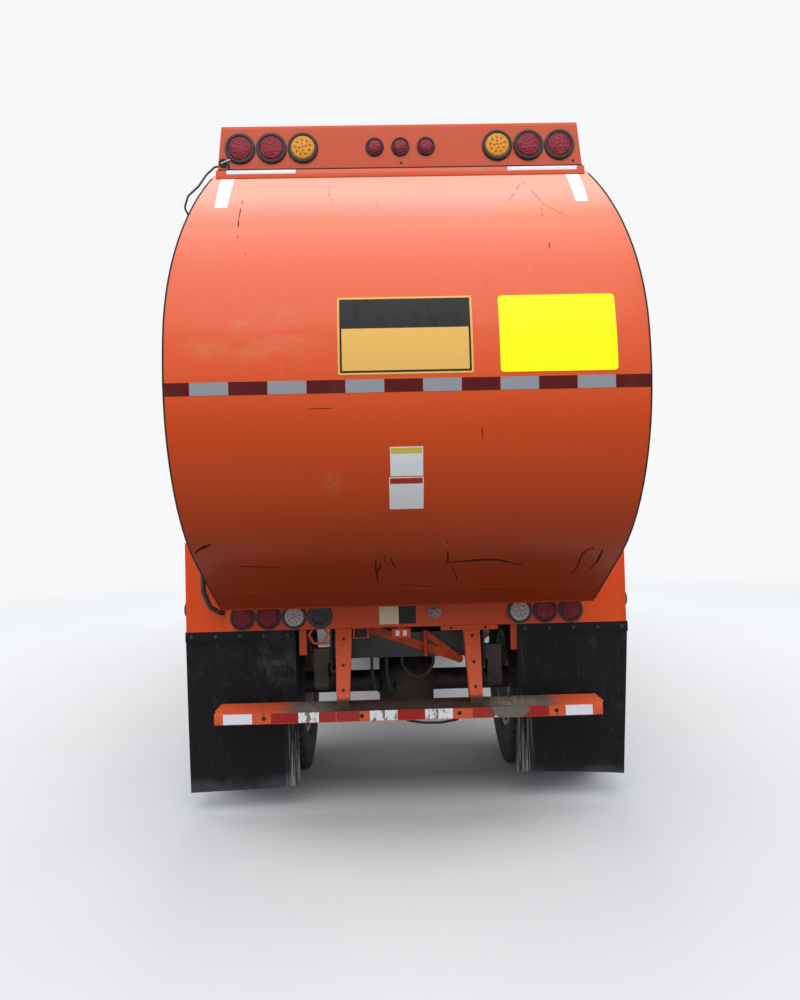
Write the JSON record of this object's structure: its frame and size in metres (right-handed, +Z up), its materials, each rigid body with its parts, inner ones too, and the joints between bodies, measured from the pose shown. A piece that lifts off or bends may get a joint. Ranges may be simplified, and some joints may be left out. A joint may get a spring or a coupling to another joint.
{
  "type": "garbage truck",
  "caption": "Two-axle side-arm refuse truck with a barrel-sided load body, a bulged tailgate under a lamp bar, and a tilting cab.",
  "frame": {"origin": "on the ground below the middle of the outline", "axes": "+Y forward, +X to the kerb side, +Z up"},
  "size_m": [2.8, 7.83, 3.3533],
  "materials": {
    "orange_paint": "gloss",
    "frame_black": "satin",
    "steel": "brushed",
    "rim_paint": "gloss",
    "tyre_rubber": "matte",
    "rubber": "matte",
    "glass": "clear",
    "lamp_red": "gloss",
    "lamp_clear": "gloss",
    "trim": "matte",
    "cloth": "woven",
    "chrome": "polished",
    "aluminium": "satin",
    "cast": "rough"
  },
  "bodies": {
    "chassis": {"frame_rails": "frame_black", "front_axle": "frame_black", "rear_axle": "cast", "engine_block": "cast", "fuel_tank": "aluminium", "muffler": "steel", "front_bumper": "chrome", "headlamps": "lamp_clear", "body_side_left": "orange_paint", "body_side_right": "orange_paint", "body_roof": "orange_paint", "body_floor": "orange_paint", "rear_frame": "orange_paint", "rear_lamps": "lamp_red", "fender_boxes": "orange_paint", "hopper": "orange_paint", "rear_bumper": "orange_paint", "mud_flaps": "rubber", "rear_fittings": "orange_paint", "frame_boxes": "frame_black", "chassis_leads": "rubber", "arm_rail": "orange_paint"},
    "cab": {"cab_roof": "orange_paint", "cab_floor": "trim", "cab_tunnel": "trim", "cab_front": "orange_paint", "cab_back": "orange_paint", "cab_glass": "glass", "dash": "trim", "seats": "cloth", "mirrors": "trim"},
    "door_left": {"door_left": "orange_paint", "door_glass_left": "glass"},
    "door_right": {"door_right": "orange_paint", "door_glass_right": "glass"},
    "tailgate": {"tailgate": "orange_paint", "light_bar": "orange_paint", "gate_lamps": "lamp_red", "lamp_lead": "rubber"},
    "packer": {"packer_blade": "steel"},
    "barrel_left": {"cylinder_barrel_left": "orange_paint"},
    "rod_left": {"cylinder_rod_left": "chrome"},
    "barrel_right": {"cylinder_barrel_right": "orange_paint"},
    "rod_right": {"cylinder_rod_right": "chrome"},
    "arm_slide": {"arm_slide": "orange_paint"},
    "lift_arm": {"lift_arm": "orange_paint"},
    "finger_front": {"finger_front": "orange_paint"},
    "finger_rear": {"finger_rear": "orange_paint"},
    "knuckle_left": {"knuckle_left": "cast"},
    "knuckle_right": {"knuckle_right": "cast"},
    "wheel_front_left": {"tyre_front_left": "tyre_rubber", "rim_front_left": "rim_paint"},
    "wheel_front_right": {"tyre_front_right": "tyre_rubber", "rim_front_right": "rim_paint"},
    "wheel_rear_left": {"tyre_rear_left": "tyre_rubber", "rim_rear_left": "rim_paint"},
    "wheel_rear_right": {"tyre_rear_right": "tyre_rubber", "rim_rear_right": "rim_paint"}
  },
  "joints": [
    {"name": "cab_tilt", "type": "hinge", "parent": "chassis", "child": "cab", "pos_m": [0, 3.715, 0.74], "axis": [-1, 0, 0], "range_deg": [0, 45]},
    {"name": "door_left_swing", "type": "hinge", "parent": "cab", "child": "door_left", "pos_m": [-1.17, 3.618, 1.3], "axis": [0, 0, -1], "range_deg": [0, 70]},
    {"name": "door_right_swing", "type": "hinge", "parent": "cab", "child": "door_right", "pos_m": [1.17, 3.618, 1.3], "axis": [0, 0, 1], "range_deg": [0, 70]},
    {"name": "tailgate_lift", "type": "hinge", "parent": "chassis", "child": "tailgate", "pos_m": [0, -2.803, 3.195], "axis": [-1, 0, 0], "range_deg": [0, 80]},
    {"name": "barrel_left_swing", "type": "hinge", "parent": "chassis", "child": "barrel_left", "pos_m": [-1.022, -1.845, 2.3], "axis": [-1, 0, 0], "range_deg": [0, 21.09]},
    {"name": "rod_left_stroke", "type": "slide", "parent": "barrel_left", "child": "rod_left", "axis": [0, -0.9724, 0.2334], "range_m": [0, 0.645]},
    {"name": "barrel_right_swing", "type": "hinge", "parent": "chassis", "child": "barrel_right", "pos_m": [1.022, -1.845, 2.3], "axis": [-1, 0, 0], "range_deg": [0, 21.09]},
    {"name": "rod_right_stroke", "type": "slide", "parent": "barrel_right", "child": "rod_right", "axis": [0, -0.9724, 0.2334], "range_m": [0, 0.645]},
    {"name": "packer_stroke", "type": "slide", "parent": "chassis", "child": "packer", "axis": [0, -1, 0], "range_m": [0, 1.05]},
    {"name": "arm_reach", "type": "slide", "parent": "chassis", "child": "arm_slide", "axis": [1, 0, 0], "range_m": [0, 1.1]},
    {"name": "arm_lift", "type": "hinge", "parent": "arm_slide", "child": "lift_arm", "pos_m": [1.05, 1.185, 2.05], "axis": [0, -1, 0], "range_deg": [0, 165]},
    {"name": "finger_front_grip", "type": "hinge", "parent": "lift_arm", "child": "finger_front", "pos_m": [1.168, 1.485, 0.89], "axis": [0, 0, -1], "range_deg": [0, 80]},
    {"name": "finger_rear_grip", "type": "hinge", "parent": "lift_arm", "child": "finger_rear", "pos_m": [1.168, 0.885, 0.89], "axis": [0, 0, 1], "range_deg": [0, 80]},
    {"name": "steer_left", "type": "hinge", "parent": "chassis", "child": "knuckle_left", "pos_m": [-0.89, 2.565, 0.527], "axis": [0, 0, 1], "range_deg": [-35, 35]},
    {"name": "steer_right", "type": "hinge", "parent": "chassis", "child": "knuckle_right", "pos_m": [0.89, 2.565, 0.527], "axis": [0, 0, 1], "range_deg": [-35, 35]},
    {"name": "roll_front_left", "type": "hinge", "parent": "knuckle_left", "child": "wheel_front_left", "pos_m": [-1.03, 2.565, 0.527], "axis": [1, 0, 0], "continuous": true},
    {"name": "roll_front_right", "type": "hinge", "parent": "knuckle_right", "child": "wheel_front_right", "pos_m": [1.03, 2.565, 0.527], "axis": [1, 0, 0], "continuous": true},
    {"name": "roll_rear_left", "type": "hinge", "parent": "chassis", "child": "wheel_rear_left", "pos_m": [-0.912, -2.035, 0.527], "axis": [1, 0, 0], "continuous": true},
    {"name": "roll_rear_right", "type": "hinge", "parent": "chassis", "child": "wheel_rear_right", "pos_m": [0.912, -2.035, 0.527], "axis": [1, 0, 0], "continuous": true}
  ],
  "couplings": [
    {"joint": "barrel_left_swing", "follows": "tailgate_lift", "ratio": 0.25742},
    {"joint": "rod_left_stroke", "follows": "tailgate_lift", "m_per_rad": 0.4584},
    {"joint": "barrel_right_swing", "follows": "tailgate_lift", "ratio": 0.25742},
    {"joint": "rod_right_stroke", "follows": "tailgate_lift", "m_per_rad": 0.4584},
    {"joint": "finger_rear_grip", "follows": "finger_front_grip", "ratio": 1},
    {"joint": "steer_right", "follows": "steer_left", "ratio": 1}
  ]
}
